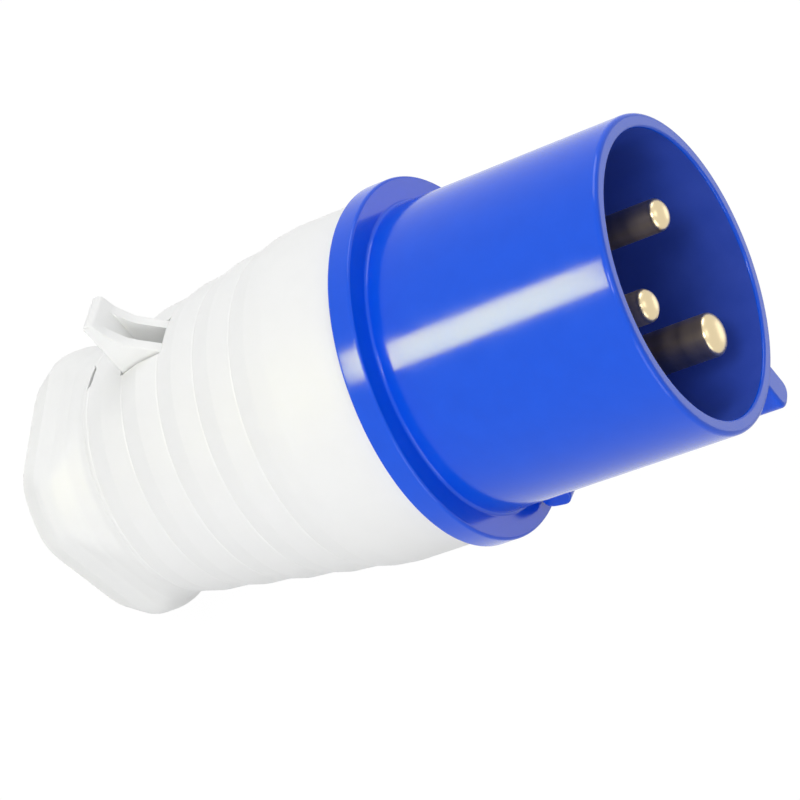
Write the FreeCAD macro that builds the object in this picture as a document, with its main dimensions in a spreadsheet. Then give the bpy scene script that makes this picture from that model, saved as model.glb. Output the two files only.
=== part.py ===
"""Splash-proof pin-and-sleeve plug: two poles and earth, 32 A, with a screwed cable gland.

The plug stands on the flat end of its cable cap. The origin is the centre of the cable entry
on that end face, +Z runs along the plug to the contact tips, and +X points at the key rib.
Lengths are in millimetres, angles in degrees.
"""
import FreeCAD, Part
import os
import re
import Sketcher

Vector = FreeCAD.Vector

doc = FreeCAD.newDocument("plug")
dims = doc.addObject("Spreadsheet::Sheet", "dims")
# Sizes that can each be set by themselves
SIZES = {
    # Overall lengths along the axis, from the gland end to the rim
    "cap_length": 17.0,
    "housing_length": 61.8,
    "flange_thickness": 4.6,
    "shroud_length": 46.6,
    # Front shroud
    "shroud_radius": 29.0,
    "shroud_wall": 2.7,
    "rim_outer_round": 1.0,
    "rim_inner_round": 0.5,
    "flange_lip": 1.8,
    "flange_round": 0.4,
    "floor_lift": 0.6,
    "floor_thickness": 4.0,
    "floor_ledge": 5.3,
    # Spigot of the shroud inside the rear housing
    "spigot_length": 16.8,
    "spigot_play": 0.2,
    "spigot_wall": 3.3,
    "groove_width": 2.8,
    "groove_depth": 1.5,
    "groove_offset": 6.4,
    "seal_gap": 0.03,
    # Key rib in line with the earth contact, and the round-nosed stop on the flange
    "key_width": 5.8,
    "key_rise": 6.3,
    "key_round": 1.5,
    "key_set_back": 0.1,
    "stop_angle": -16.0,
    "stop_width": 7.6,
    "stop_length": 6.3,
    "stop_rise": 3.9,
    "stop_round": 2.6,
    # Contact pins
    "pole_radius": 3.0,
    "pole_margin": 14.1,
    "pole_angle": 115.7,
    "pole_collar": 5.0,
    "pole_barrel": 4.3,
    "earth_radius": 4.0,
    "earth_margin": 11.3,
    "earth_collar": 6.2,
    "earth_barrel": 5.3,
    "tip_depth": 2.0,
    "tip_round": 2.0,
    "barrel_length": 15.5,
    "pole_wire_hole": 2.1,
    "earth_wire_hole": 2.6,
    "wire_hole_depth": 11.0,
    "contact_play": 0.05,
    "shank_step": 0.4,
    "shank_rise": 0.5,
    # Clamp screws of the terminals
    "clamp_radius": 1.6,
    "clamp_play": 0.05,
    "clamp_head_radius": 2.6,
    "clamp_head_height": 1.8,
    "clamp_grip": 0.4,
    "clamp_slot": 0.8,
    "clamp_slot_depth": 0.9,
    "clamp_setback": 5.0,
    # Contact carrier and its retainer plate
    "carrier_play": 0.1,
    "carrier_flange": 5.0,
    "retainer_thickness": 4.0,
    "collar_height": 3.9,
    # Screws that hold carrier and retainer to the shroud
    "fixing_margin": 0.95,
    "fixing_angle": 90.0,
    "fixing_radius": 1.4,
    "fixing_play": 0.05,
    "fixing_bite": 2.6,
    "fixing_head_radius": 2.3,
    "fixing_head_height": 2.0,
    "fixing_slot": 0.8,
    "fixing_slot_depth": 1.0,
    # Rear housing: a straight front, then five shallow bands that step inwards
    "housing_step": 3.1,
    "housing_wall": 2.3,
    "front_wall": 2.5,
    "last_band": 0.98,
    "band_count": 5,
    "band_pitch": 9.23,
    "band_steep": 4.1,
    "band_taper": 1.43,
    "first_drop": 1.5,
    "knee_rise": 1.05,
    "shoulder_length": 4.0,
    "rear_drop": 0.18,
    "rear_wall": 1.8,
    "chamber_step": 0.5,
    # Gland neck inside the rear housing
    "neck_setback": 5.7,
    "neck_wall": 3.8,
    "neck_gap": 0.3,
    "neck_depth": 23.0,
    "partition_thickness": 2.5,
    "passage_ease": 1.0,
    # Cable cap: a round collar that flares into four lobes
    "cap_end_wall": 8.0,
    "cap_angle": 7.0,
    "thread_play": 0.08,
    "seam_gap": 0.2,
    "seam_step": 0.4,
    "waist_drop": 0.3,
    "lobe_rise": 1.85,
    "bevel_height": 4.5,
    "bevel_drop": 0.45,
    "cap_rear_drop": 3.05,
    "flat_depth": 3.85,
    "flat_rear_depth": 1.9,
    "ratchet_wall": 2.22,
    "ratchet_length": 5.0,
    # Parts inside the gland
    "gland_play": 0.2,
    "washer_gap": 0.1,
    "washer_thickness": 1.5,
    "washer_play": 0.48,
    "gland_wall": 4.1,
    "gland_ease": 0.4,
    "gland_seal_length": 14.0,
    "collet_nose": 3.0,
    "collet_slot": 1.6,
    "collet_slot_length": 11.0,
    "collet_slots": 8,
    # Release latch: a channel-shaped tab that stands out of the housing, opposite the key
    "latch_angle": 177.5,
    "latch_width": 8.2,
    "latch_cheek": 2.1,
    "latch_play": 0.6,
    "latch_front_play": 0.8,
    "pivot_rise": 3.1,
    "pivot_lift": 4.7,
    "pivot_pin_radius": 1.0,
    "pivot_play": 0.05,
    "hub_radius": 2.2,
    "tab_reach": 13.6,
    "tab_setback": 10.0,
    "tab_web": 2.7,
    "tab_length": 9.7,
    "tab_sink": 0.74,
    "tab_front_depth": 3.0,
    "tail_gap": 0.4,
    "tail_thickness": 1.0,
    "tail_inset": 1.6,
    "bracket_thickness": 2.2,
    "bracket_height": 6.0,
    "room_skin": 0.6,
    "slit_depth": 2.0,
    # Latch spring wound round the pivot pin
    "spring_wire": 0.25,
    "spring_coil": 1.5,
    "spring_turns": 3,
    "spring_step": 0.75,
    "spring_leg": 4.2,
}

# Levels and radii that follow from them, in the order in which they build on each other
FOLLOWING = {
    "housing_rear": "cap_length",
    "flange_rear": "cap_length + housing_length",
    "flange_front": "flange_rear + flange_thickness",
    "rim_level": "flange_front + shroud_length",
    "tip_level": "rim_level - tip_depth",
    "housing_radius": "shroud_radius + housing_step",
    "flange_radius": "housing_radius + flange_lip",
    "shroud_bore": "shroud_radius - shroud_wall",
    "pole_circle": "shroud_bore - pole_margin",
    "earth_circle": "shroud_bore - earth_margin",
    "floor_front": "flange_front + floor_lift",
    "floor_rear": "floor_front - floor_thickness",
    "floor_hole": "shroud_bore - floor_ledge",
    "key_radius": "shroud_radius + key_rise",
    "stop_radius": "shroud_radius + stop_rise",
    "spigot_rear": "flange_rear - spigot_length",
    "housing_bore": "housing_radius - front_wall",
    "spigot_radius": "housing_bore - spigot_play",
    "spigot_bore": "spigot_radius - spigot_wall",
    "carrier_rear": "floor_rear - carrier_flange",
    "retainer_rear": "carrier_rear - retainer_thickness",
    "barrel_end": "carrier_rear - barrel_length",
    "clamp_level": "barrel_end + clamp_setback",
    "fixing_circle": "floor_hole + fixing_margin + fixing_play + fixing_radius",
    "edge_radius": "housing_radius - first_drop",
    "rear_radius": "edge_radius - (band_count - 1) * band_taper - rear_drop",
    "first_edge": "housing_rear + last_band + (band_count - 1) * band_pitch",
    "neck_radius": "rear_radius - neck_setback",
    "neck_bore": "neck_radius - neck_wall",
    "partition_rear": "housing_rear + neck_depth",
    "partition_front": "partition_rear + partition_thickness",
    "gland_radius": "neck_bore - gland_play",
    "gland_bore": "gland_radius - gland_wall",
    "entry_radius": "gland_bore - gland_ease",
    "wire_passage": "entry_radius + passage_ease",
    "cap_bore": "neck_radius + thread_play",
    "cap_front": "cap_length - seam_gap",
    "cap_side": "cap_front - bevel_height",
    "collar_radius": "rear_radius - seam_step",
    "waist_radius": "collar_radius - waist_drop",
    "lobe_radius": "collar_radius + lobe_rise",
    "bevel_radius": "lobe_radius - bevel_drop",
    "cap_rear_radius": "lobe_radius - cap_rear_drop",
    "flat_distance": "lobe_radius - flat_depth",
    "flat_rear_distance": "flat_distance - flat_rear_depth",
    "ratchet_radius": "cap_bore + ratchet_wall",
    "washer_rear": "cap_end_wall + washer_gap",
    "washer_front": "washer_rear + washer_thickness",
    "washer_radius": "cap_bore - washer_play",
    "collet_rear": "washer_front + washer_gap",
    "neck_rear": "collet_rear + neck_gap",
    "seal_rear": "partition_rear - gland_seal_length",
    "latch_half": "latch_width / 2",
    "window_half": "latch_half + latch_play",
    "tab_height": "rear_radius + tab_reach",
    "tab_rear": "housing_rear + tab_setback",
    "tab_front": "tab_rear + tab_length",
    "tab_foot_radius": "edge_radius - 2 * band_taper - tab_sink",
    "tab_rise": "tab_height - tab_foot_radius",
    "pivot_radius": "neck_radius + pivot_rise",
    "pivot_level": "tab_rear + pivot_lift",
    "tail_radius": "ratchet_radius + tail_gap",
    "tail_rear": "housing_rear + tail_inset",
    "latch_room": "rear_radius - room_skin",
}

for name, value in SIZES.items():
    cell = "A%d" % (list(SIZES).index(name) + 1)
    dims.set(cell, str(value))
    dims.setAlias(cell, name)

for name, text in FOLLOWING.items():
    cell = "B%d" % (list(FOLLOWING).index(name) + 1)
    dims.set(cell, "=" + text)
    dims.setAlias(cell, name)

doc.recompute()

FUNCTIONS = {"cos", "sin", "tan", "sqrt"}


def formula(text):
    """Text with each size name made a reference to the sheet."""
    def named(match):
        word = match.group(0)
        return word if word in FUNCTIONS else "dims." + word
    return re.sub(r"[a-z][a-z0-9_]*", named, text)


def read(name):
    """Present value of a size."""
    return float(dims.get(name))


def bind(thing, prop, text):
    """Drive a property by sizes."""
    thing.setExpression(prop, formula(text))


def new_body(name):
    """Empty body that carries the name of its piece."""
    body = doc.addObject("PartDesign::Body", name)
    body.Label = name
    return body


def datum(body, role):
    """Origin plane or axis of a body."""
    for feature in body.Origin.OriginFeatures:
        if feature.Role == role:
            return feature
    raise ValueError(role)


def new_sketch(body, name, role, level=None):
    """Empty sketch on an origin plane, lifted to a level."""
    sketch = body.newObject("Sketcher::SketchObject", name)
    sketch.AttachmentSupport = [(datum(body, role), "")]
    sketch.MapMode = "FlatFace"
    if level:
        bind(sketch, "AttachmentOffset.Base.z", level)
    return sketch


def fix_point(sketch, geometry, corner, place):
    """Hold one point of a sketch at its two formulas."""
    across = Sketcher.Constraint("DistanceX", -1, 1, geometry, corner, 1.0)
    bind(sketch, "Constraints[%d]" % sketch.addConstraint(across), place[0])
    along = Sketcher.Constraint("DistanceY", -1, 1, geometry, corner, 1.0)
    bind(sketch, "Constraints[%d]" % sketch.addConstraint(along), place[1])


def outline(body, name, role, places, level=None):
    """Closed outline of straight lines through the places given as pairs of formulas."""
    sketch = new_sketch(body, name, role, level)
    count = len(places)
    turn = FreeCAD.Rotation(Vector(0, 0, 1), 360.0 / count)
    corner = Vector(60, 0, 0)
    for _ in places:
        following = turn.multVec(corner)
        sketch.addGeometry(Part.LineSegment(corner, following), False)
        corner = following
    for index in range(count):
        sketch.addConstraint(Sketcher.Constraint("Coincident", index, 2, (index + 1) % count, 1))
    for index, place in enumerate(places):
        fix_point(sketch, index, 1, place)
    return sketch


def ring(sketch, place, radius):
    """Circle in a sketch."""
    index = sketch.addGeometry(Part.Circle(Vector(1, 1, 0), Vector(0, 0, 1), 1.0), False)
    fix_point(sketch, index, 3, place)
    number = sketch.addConstraint(Sketcher.Constraint("Radius", index, 1.0))
    bind(sketch, "Constraints[%d]" % number, radius)


def feature(body, kind, name, sketch):
    """Feature of a body made from a sketch."""
    made = body.newObject("PartDesign::" + kind, name)
    made.Profile = sketch
    sketch.Visibility = False
    return made


def revolve(body, name, places, axis="Z_Axis"):
    """Solid of revolution about an origin axis, outline given as radius and level."""
    sketch = outline(body, name + "_outline", "XZ_Plane", places)
    made = feature(body, "Revolution", name, sketch)
    made.ReferenceAxis = (datum(body, axis), [""])
    made.Angle = 360
    return made


def pad(body, name, sketch, length, middle=False, back=False):
    """Extrusion of a sketch."""
    made = feature(body, "Pad", name, sketch)
    bind(made, "Length", length)
    made.Midplane = middle
    made.Reversed = back
    return made


def pocket(body, name, sketch, length, middle=False, back=False):
    """Cut of a sketch, downwards from an XY sketch unless turned back."""
    made = feature(body, "Pocket", name, sketch)
    bind(made, "Length", length)
    made.Midplane = middle
    made.Reversed = back
    return made


def repeat(body, name, original, count):
    """Even pattern of a feature about the axis."""
    made = body.newObject("PartDesign::PolarPattern", name)
    made.Originals = [original]
    made.Axis = (datum(body, "Z_Axis"), [""])
    made.Angle = 360
    bind(made, "Occurrences", count)
    body.Tip = made
    return made


def round_edges(body, name, base, radius, chosen):
    """Fillet on the edges of a feature that pass a test."""
    doc.recompute()
    names = []
    for number, edge in enumerate(base.Shape.Edges, 1):
        if chosen(edge):
            names.append("Edge%d" % number)
    made = body.newObject("PartDesign::Fillet", name)
    made.Base = (base, names)
    bind(made, "Radius", radius)
    doc.recompute()
    return made


def near(one, other):
    """True where two lengths agree."""
    return abs(one - other) < 0.01


def circle_at(edge, radius, level):
    """True for a circular edge about the axis, of this radius at this level."""
    if not hasattr(edge.Curve, "Radius"):
        return False
    centre = edge.Curve.Center
    on_axis = near(centre.x, 0) and near(centre.y, 0)
    return on_axis and near(edge.Curve.Radius, radius) and near(centre.z, level)


def polar(angle, out, side):
    """Place at a distance out along a direction and a distance to its left."""
    across = "(%s) * cos(%s) - (%s) * sin(%s)" % (out, angle, side, angle)
    along = "(%s) * sin(%s) + (%s) * cos(%s)" % (out, angle, side, angle)
    return (across, along)


def block(angle, inner, outer, half):
    """Corners of a rectangle that lies along a direction."""
    return [
        polar(angle, inner, "-(%s)" % half),
        polar(angle, outer, "-(%s)" % half),
        polar(angle, outer, half),
        polar(angle, inner, half),
    ]


def turn_to(thing, angle):
    """Turn a piece about the plug's axis."""
    thing.Placement = FreeCAD.Placement(Vector(0, 0, 0), FreeCAD.Rotation(Vector(0, 0, 1), 30))
    bind(thing, "Placement.Rotation.Angle", angle)


def move_to(thing, circle, angle, level=None):
    """Carry a piece out to its place on a circle and turn it to face outwards."""
    turn_to(thing, angle)
    bind(thing, "Placement.Base.x", "%s * cos(%s)" % (circle, angle))
    bind(thing, "Placement.Base.y", "%s * sin(%s)" % (circle, angle))
    if level:
        bind(thing, "Placement.Base.z", level)


def make_front_shroud():
    """Blue moulding: shroud with key rib, flange with its stop, floor ledge and rear spigot."""
    body = new_body("front_shroud")
    groove = "spigot_radius - groove_depth"
    groove_front = "flange_rear - groove_offset"
    groove_rear = "flange_rear - groove_offset - groove_width"
    shell = revolve(body, "shroud_shell", [
        ("spigot_bore", "spigot_rear"),
        ("spigot_radius", "spigot_rear"),
        ("spigot_radius", groove_rear),
        (groove, groove_rear),
        (groove, groove_front),
        ("spigot_radius", groove_front),
        ("spigot_radius", "flange_rear"),
        ("flange_radius", "flange_rear"),
        ("flange_radius", "flange_front"),
        ("shroud_radius", "flange_front"),
        ("shroud_radius", "rim_level"),
        ("shroud_bore", "rim_level"),
        ("shroud_bore", "floor_front"),
        ("floor_hole", "floor_front"),
        ("floor_hole", "floor_rear"),
        ("spigot_bore", "floor_rear"),
    ])
    rim = round_edges(body, "rim_outer", shell, "rim_outer_round", lambda edge: circle_at(
        edge, read("shroud_radius"), read("rim_level")))
    lip = round_edges(body, "rim_inner", rim, "rim_inner_round", lambda edge: circle_at(
        edge, read("shroud_bore"), read("rim_level")))
    edges = round_edges(body, "flange_edges", lip, "flange_round", lambda edge: circle_at(
        edge, read("flange_radius"), read("flange_front")) or circle_at(
        edge, read("flange_radius"), read("flange_rear")) or circle_at(
        edge, read("shroud_radius"), read("flange_front")))

    middle = "shroud_radius - shroud_wall / 2"
    key_sketch = outline(body, "key_outline", "XY_Plane", [
        (middle, "-key_width / 2"),
        ("key_radius", "-key_width / 2"),
        ("key_radius", "key_width / 2"),
        (middle, "key_width / 2"),
    ], "flange_front")
    key = pad(body, "key_rib", key_sketch, "shroud_length - key_set_back")
    key_top = round_edges(body, "key_edges", key, "key_round", lambda edge: (
        near(edge.CenterOfMass.x, read("key_radius"))))

    stop_sketch = outline(body, "stop_outline", "XY_Plane", block(
        "stop_angle", middle, "stop_radius", "stop_width / 2"), "flange_front")
    stop = pad(body, "flange_stop", stop_sketch, "stop_length")
    nose_level = read("flange_front") + read("stop_length")
    nose = round_edges(body, "stop_nose", stop, "stop_round", lambda edge: (
        near(edge.CenterOfMass.z, nose_level)
        and edge.CenterOfMass.Length > 0
        and near(edge.BoundBox.ZLength, 0)
        and Vector(edge.CenterOfMass.x, edge.CenterOfMass.y, 0).Length > read("stop_radius") - 0.5))

    holes = new_sketch(body, "fixing_holes_outline", "XY_Plane", "floor_rear")
    for side in ("fixing_angle", "-fixing_angle"):
        place = ("fixing_circle * cos(%s)" % side, "fixing_circle * sin(%s)" % side)
        ring(holes, place, "fixing_radius + fixing_play")
    pocket(body, "fixing_holes", holes, "fixing_bite + fixing_play", back=True)
    return body


def contact_places():
    """Angle, circle, collar and barrel of each contact."""
    return [
        ("pole_angle", "pole_circle", "pole_radius", "pole_collar", "pole_barrel"),
        ("-pole_angle", "pole_circle", "pole_radius", "pole_collar", "pole_barrel"),
        ("0", "earth_circle", "earth_radius", "earth_collar", "earth_barrel"),
    ]


def bore_contacts(body, name, level, length, column, step="contact_play", back=False):
    """Three holes, one for each contact, wider by a step than one column of the contact places."""
    sketch = new_sketch(body, name + "_outline", "XY_Plane", level)
    for place in contact_places():
        angle, circle = place[0], place[1]
        middle = ("%s * cos(%s)" % (circle, angle), "%s * sin(%s)" % (circle, angle))
        ring(sketch, middle, "%s + %s" % (place[column], step))
    return pocket(body, name, sketch, length, back=back)


def bore_fixings(body, name, level, length):
    """Two clearance holes for the fixing screws."""
    sketch = new_sketch(body, name + "_outline", "XY_Plane", level)
    for side in ("fixing_angle", "-fixing_angle"):
        place = ("fixing_circle * cos(%s)" % side, "fixing_circle * sin(%s)" % side)
        ring(sketch, place, "fixing_radius + fixing_play")
    return pocket(body, name, sketch, length)


def make_pin_carrier():
    """Insulating carrier: boss in the floor hole, flange behind the floor ledge."""
    body = new_body("pin_carrier")
    revolve(body, "carrier_disc", [
        ("0", "carrier_rear"),
        ("spigot_bore - carrier_play", "carrier_rear"),
        ("spigot_bore - carrier_play", "floor_rear"),
        ("floor_hole - carrier_play", "floor_rear"),
        ("floor_hole - carrier_play", "floor_front"),
        ("0", "floor_front"),
    ])
    shank = "shank_step + contact_play"
    bore_contacts(body, "shank_holes", "floor_front", "floor_front - carrier_rear", 2, shank)
    bore_contacts(body, "collar_seats", "carrier_rear", "collar_height + contact_play", 3, back=True)
    bore_fixings(body, "carrier_fixings", "floor_rear", "carrier_flange")
    return body


def make_retainer_plate():
    """Plate behind the carrier that traps the collars of the contacts."""
    body = new_body("retainer_plate")
    revolve(body, "retainer_disc", [
        ("0", "retainer_rear"),
        ("spigot_bore - carrier_play", "retainer_rear"),
        ("spigot_bore - carrier_play", "carrier_rear"),
        ("0", "carrier_rear"),
    ])
    bore_contacts(body, "barrel_holes", "carrier_rear", "retainer_thickness", 4)
    bore_fixings(body, "retainer_fixings", "carrier_rear", "retainer_thickness")
    return body


def make_contact(name, place, wire_hole):
    """Brass contact: round pin, collar, and terminal barrel with wire hole and screw hole."""
    angle, circle, radius, collar, barrel = place
    body = new_body(name)
    turned = revolve(body, name + "_turned", [
        ("0", "barrel_end + wire_hole_depth"),
        ("0", "tip_level"),
        (radius, "tip_level"),
        (radius, "floor_front + shank_rise"),
        (radius + " + shank_step", "floor_front + shank_rise"),
        (radius + " + shank_step", "carrier_rear + collar_height"),
        (collar, "carrier_rear + collar_height"),
        (collar, "carrier_rear"),
        (barrel, "carrier_rear"),
        (barrel, "barrel_end"),
        (wire_hole, "barrel_end"),
        (wire_hole, "barrel_end + wire_hole_depth"),
    ])
    round_edges(body, name + "_tip", turned, "tip_round", lambda edge: circle_at(
        edge, read(radius), read("tip_level")))
    sketch = new_sketch(body, name + "_clamp_outline", "YZ_Plane")
    ring(sketch, ("0", "clamp_level"), "clamp_radius + clamp_play")
    pocket(body, name + "_clamp_hole", sketch, barrel + " + clamp_play", back=True)
    move_to(body, circle, angle)
    return body


def make_clamp_screw(name, place, wire_hole):
    """Slotted screw that bears on the wire, lying outwards from its barrel."""
    angle, circle, barrel = place[0], place[1], place[4]
    body = new_body(name)
    seat = barrel + " + clamp_grip"
    end = seat + " + clamp_head_height"
    revolve(body, name + "_turned", [
        (wire_hole + " * 0.4", "0"),
        (end, "0"),
        (end, "clamp_head_radius"),
        (seat, "clamp_head_radius"),
        (seat, "clamp_radius"),
        (wire_hole + " * 0.4", "clamp_radius"),
    ], "X_Axis")
    slot = outline(body, name + "_slot_outline", "XZ_Plane", [
        (end + " - clamp_slot_depth", "-clamp_slot / 2"),
        (end + " + clamp_slot", "-clamp_slot / 2"),
        (end + " + clamp_slot", "clamp_slot / 2"),
        (end + " - clamp_slot_depth", "clamp_slot / 2"),
    ])
    pocket(body, name + "_slot", slot, "clamp_head_radius * 3", middle=True)
    move_to(body, circle, angle, "clamp_level")
    return body


def make_fixing_screw(name, side):
    """Slotted screw through retainer and carrier into the floor ledge of the shroud."""
    body = new_body(name)
    revolve(body, name + "_turned", [
        ("0", "retainer_rear - fixing_head_height"),
        ("fixing_head_radius", "retainer_rear - fixing_head_height"),
        ("fixing_head_radius", "retainer_rear"),
        ("fixing_radius", "retainer_rear"),
        ("fixing_radius", "floor_rear + fixing_bite"),
        ("0", "floor_rear + fixing_bite"),
    ])
    slot = outline(body, name + "_slot_outline", "XY_Plane", [
        ("-fixing_head_radius * 1.5", "-fixing_slot / 2"),
        ("fixing_head_radius * 1.5", "-fixing_slot / 2"),
        ("fixing_head_radius * 1.5", "fixing_slot / 2"),
        ("-fixing_head_radius * 1.5", "fixing_slot / 2"),
    ], "retainer_rear - fixing_head_height")
    pocket(body, name + "_slot", slot, "fixing_slot_depth", back=True)
    move_to(body, "fixing_circle", side)
    return body


def housing_outside():
    """Outer points of the rear housing from the flange to the gland end."""
    places = [
        ("housing_radius", "flange_rear"),
        ("housing_radius", "first_edge + band_steep + shoulder_length"),
    ]
    for index in range(int(read("band_count"))):
        knee = "edge_radius + knee_rise - %d * band_taper" % index
        places.append((knee, "first_edge + band_steep - %d * band_pitch" % index))
        edge = "edge_radius - %d * band_taper" % index
        places.append((edge, "first_edge - %d * band_pitch" % index))
    places.append(("rear_radius", "housing_rear"))
    return places


def make_rear_housing():
    """White moulding: banded shell, partition, gland neck, and the seat of the latch."""
    body = new_body("rear_housing")
    wall_at_partition = "edge_radius - band_taper - housing_wall - 0.2 * knee_rise"
    revolve(body, "housing_shell", housing_outside() + [
        ("rear_radius - rear_wall", "housing_rear"),
        ("edge_radius - 3 * band_taper - housing_wall", "first_edge - 3 * band_pitch"),
        (wall_at_partition + " - knee_rise / 3", "partition_rear"),
        ("neck_radius", "partition_rear"),
        ("neck_radius", "neck_rear"),
        ("neck_bore", "neck_rear"),
        ("neck_bore", "partition_rear"),
        ("wire_passage", "partition_rear"),
        ("wire_passage", "partition_front"),
        (wall_at_partition, "partition_front"),
        ("housing_bore - front_wall / 4", "spigot_rear - chamber_step * 2"),
        ("housing_bore", "spigot_rear - chamber_step"),
        ("housing_bore", "flange_rear"),
    ])

    bracket = "window_half + bracket_thickness"
    brackets_sketch = outline(body, "brackets_outline", "XY_Plane", block(
        "latch_angle", "neck_radius - thread_play", "edge_radius - 3 * band_taper - housing_wall / 2",
        bracket), "pivot_level - bracket_height / 2")
    pad(body, "brackets", brackets_sketch, "bracket_height")

    window_sketch = outline(body, "window_outline", "XY_Plane", block(
        "latch_angle", "neck_radius + latch_play", "housing_radius", "window_half"),
        "tab_front + latch_front_play")
    window_length = "tab_front + latch_front_play - tab_rear + latch_play"
    pocket(body, "latch_window", window_sketch, window_length)

    room_sketch = outline(body, "room_outline", "XY_Plane", block(
        "latch_angle", "neck_radius + latch_play", "latch_room", "window_half"), "tab_rear")
    pocket(body, "latch_room_cut", room_sketch, "tab_rear - housing_rear")

    slit_sketch = outline(body, "slit_outline", "XY_Plane", block(
        "latch_angle", "ratchet_radius", "housing_radius", "latch_half"),
        "housing_rear + slit_depth")
    pocket(body, "latch_slit", slit_sketch, "slit_depth")

    holes = new_sketch(body, "pivot_holes_outline", "XZ_Plane")
    bind(holes, "AttachmentOffset.Base.x", "0")
    holes.AttachmentOffset = FreeCAD.Placement(Vector(), FreeCAD.Rotation(Vector(0, 1, 0), 30))
    bind(holes, "AttachmentOffset.Rotation.Angle", "latch_angle")
    ring(holes, ("pivot_radius", "pivot_level"), "pivot_pin_radius")
    pocket(body, "pivot_holes", holes, "2 * window_half + 2 * bracket_thickness", middle=True)
    return body


def make_housing_seal():
    """Round sealing ring in the groove of the spigot."""
    seal = doc.addObject("Part::Torus", "housing_seal")
    seal.Label = "housing_seal"
    bind(seal, "Radius2", "(groove_depth + spigot_play) / 2 - seal_gap")
    bind(seal, "Radius1", "housing_bore - (groove_depth + spigot_play) / 2")
    bind(seal, "Placement.Base.z", "flange_rear - groove_offset - groove_width / 2")
    return seal


def make_cable_cap():
    """Gland nut: round collar flaring into four lobes, entry hole, ratchet ring at the front."""
    body = new_body("cable_cap")
    turned = revolve(body, "cap_turned", [
        ("entry_radius", "0"),
        ("cap_rear_radius", "0"),
        ("bevel_radius", "bevel_height"),
        ("lobe_radius", "bevel_height + 0.11 * cap_side"),
        ("lobe_radius", "bevel_height + 0.33 * cap_side"),
        ("lobe_radius - lobe_rise / 4", "bevel_height + 0.45 * cap_side"),
        ("waist_radius + lobe_rise / 3", "bevel_height + 0.59 * cap_side"),
        ("waist_radius + lobe_rise / 18", "bevel_height + 0.75 * cap_side"),
        ("waist_radius", "bevel_height + 0.86 * cap_side"),
        ("collar_radius", "cap_front"),
        ("ratchet_radius", "cap_front"),
        ("ratchet_radius", "cap_length + ratchet_length"),
        ("cap_bore", "cap_length + ratchet_length"),
        ("cap_bore", "cap_end_wall"),
        ("entry_radius", "cap_end_wall"),
    ])
    turned.Refine = True
    flat_sketch = outline(body, "flat_outline", "XZ_Plane", [
        ("flat_rear_distance - flat_rear_depth / bevel_height", "-1"),
        ("flat_distance", "bevel_height"),
        ("flat_distance + flat_depth / 38", "bevel_height + 0.33 * cap_side"),
        ("flat_distance + flat_depth / 6", "bevel_height + 0.59 * cap_side"),
        ("waist_radius - waist_drop / 2", "bevel_height + 0.8 * cap_side"),
        ("lobe_radius + flat_depth", "bevel_height + 0.93 * cap_side"),
        ("lobe_radius + flat_depth", "-1"),
    ])
    flat = pocket(body, "cap_flat", flat_sketch, "lobe_radius * 2", middle=True)
    repeat(body, "cap_flats", flat, "4")
    turn_to(body, "cap_angle")
    return body


def make_slip_washer():
    """Washer between the turning cap and the collet."""
    body = new_body("slip_washer")
    revolve(body, "washer_ring", [
        ("gland_bore", "washer_rear"),
        ("washer_radius", "washer_rear"),
        ("washer_radius", "washer_front"),
        ("gland_bore", "washer_front"),
    ])
    return body


def make_gland_collet():
    """Slotted clamp ring whose tapered fingers are pressed on the sealing sleeve."""
    body = new_body("gland_collet")
    revolve(body, "collet_ring", [
        ("gland_bore", "collet_rear"),
        ("gland_radius", "collet_rear"),
        ("gland_radius", "seal_rear - collet_nose"),
        ("gland_radius - collet_nose / 2", "seal_rear"),
        ("gland_bore", "seal_rear"),
    ])
    slot_sketch = outline(body, "collet_slot_outline", "XY_Plane", block(
        "0", "gland_bore - 1", "gland_radius + 1", "collet_slot / 2"), "seal_rear")
    slot = pocket(body, "collet_slot_cut", slot_sketch, "collet_slot_length")
    repeat(body, "collet_slots_cut", slot, "collet_slots")
    return body


def make_gland_seal():
    """Rubber sleeve that grips the cable, seated on the partition."""
    body = new_body("gland_seal")
    revolve(body, "gland_sleeve", [
        ("gland_bore", "seal_rear"),
        ("gland_radius", "seal_rear"),
        ("gland_radius", "partition_rear"),
        ("wire_passage", "partition_rear"),
        ("gland_bore", "partition_rear - 0.8"),
    ])
    return body


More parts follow.
